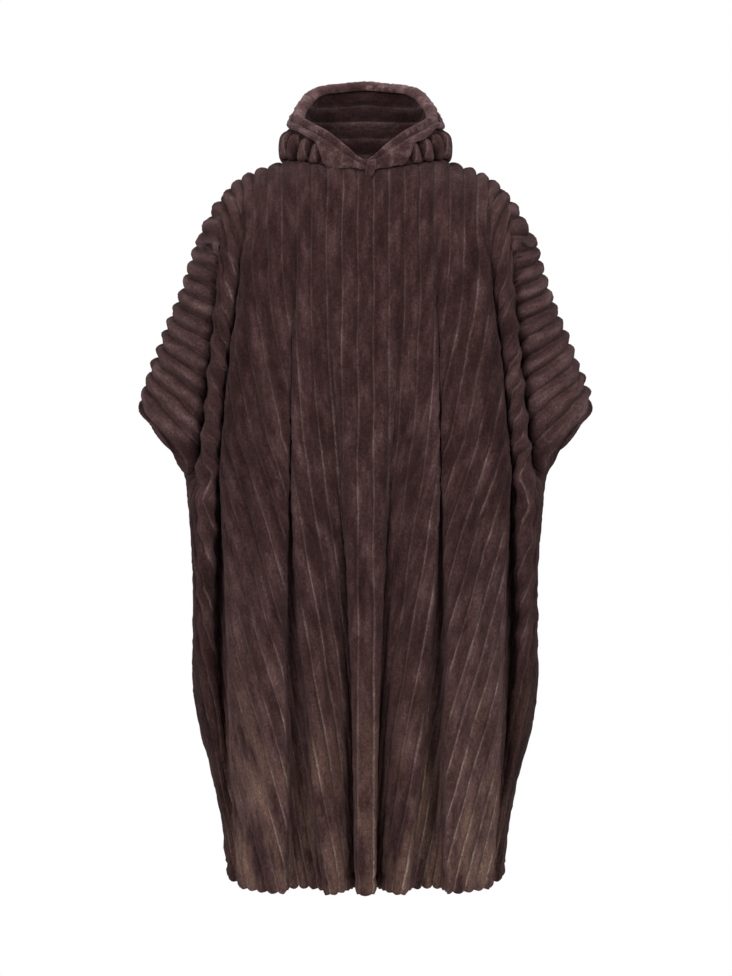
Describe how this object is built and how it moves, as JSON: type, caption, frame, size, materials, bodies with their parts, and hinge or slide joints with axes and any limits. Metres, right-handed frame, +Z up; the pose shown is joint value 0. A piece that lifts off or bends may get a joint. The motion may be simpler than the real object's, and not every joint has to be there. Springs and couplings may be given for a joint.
{
  "type": "hooded bath poncho",
  "caption": "Calf-length hooded poncho in wide-rib plush, worn shape with open neck, hem and cuffs, hood down round the neck.",
  "frame": {"origin": "middle of the neck base, at the height of the shoulder seam, where the wearer's shoulders hold it", "axes": "+Z up, the front faces -Y, +X to the wearer's left"},
  "size_m": [0.709, 0.3469, 1.2897],
  "materials": {
    "plush": "wide-rib plush pile, dark chocolate brown, soft sheen at grazing angles",
    "plush_band": "smooth plush band in the same brown"
  },
  "bodies": {
    "root": {"front_panel": "plush", "back_panel": "plush", "hood": "plush", "hood_band": "plush_band"}
  },
  "joints": []
}
